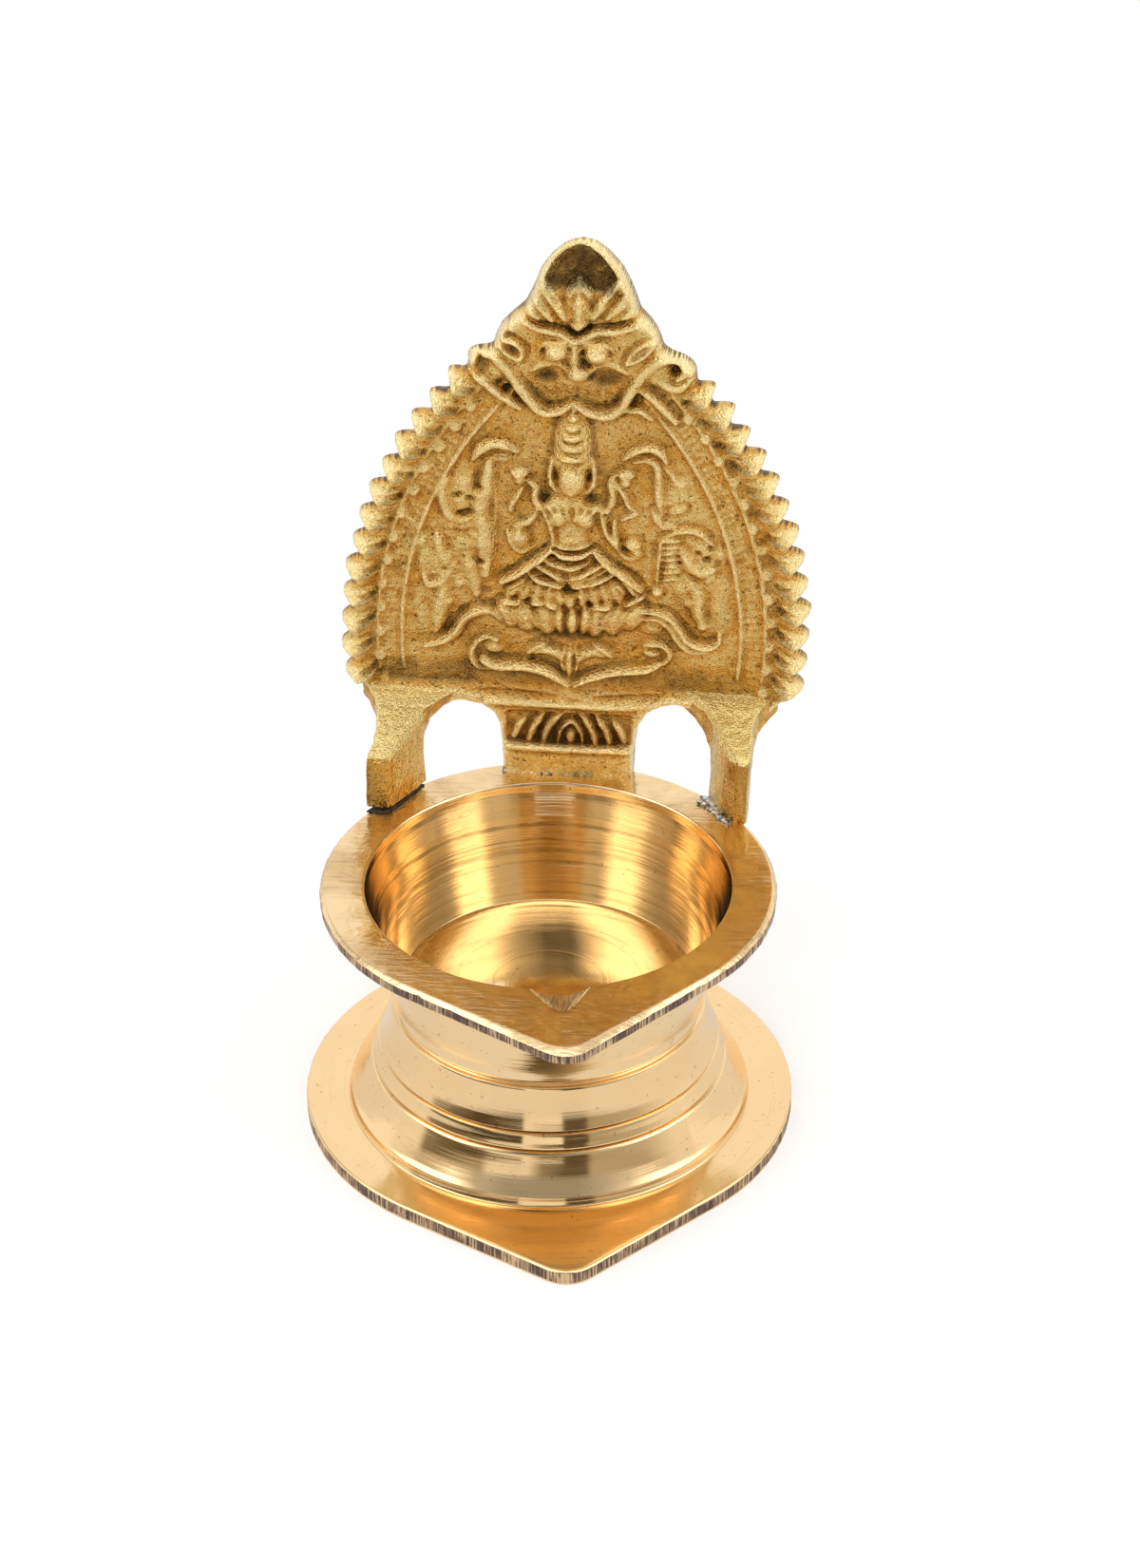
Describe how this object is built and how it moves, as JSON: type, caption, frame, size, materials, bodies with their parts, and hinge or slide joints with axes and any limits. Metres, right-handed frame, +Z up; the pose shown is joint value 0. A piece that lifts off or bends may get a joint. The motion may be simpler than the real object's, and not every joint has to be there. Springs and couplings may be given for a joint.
{
  "type": "diya oil lamp",
  "caption": "Small brass oil lamp: leaf-shaped foot, open bowl with a wick notch, and an upright relief back plate on two legs and a centre block.",
  "frame": {"origin": "middle of the lamp's bounding box, on the surface it stands on", "axes": "+Z up; the back plate's relief faces -Y; +X is to the right of someone who looks at the relief"},
  "size_m": [0.0638, 0.0706, 0.1104],
  "materials": {
    "turned_brass": "lathe-turned and polished",
    "cast_brass": "sand-cast, grainy, lightly buffed on the high points",
    "solder": "soft tin solder, dull silver"
  },
  "bodies": {
    "root": {"pedestal": "turned_brass", "bowl": "turned_brass", "back_plate": "cast_brass", "left_foot_solder": "solder", "centre_foot_solder": "solder", "right_foot_solder": "solder"}
  },
  "joints": []
}
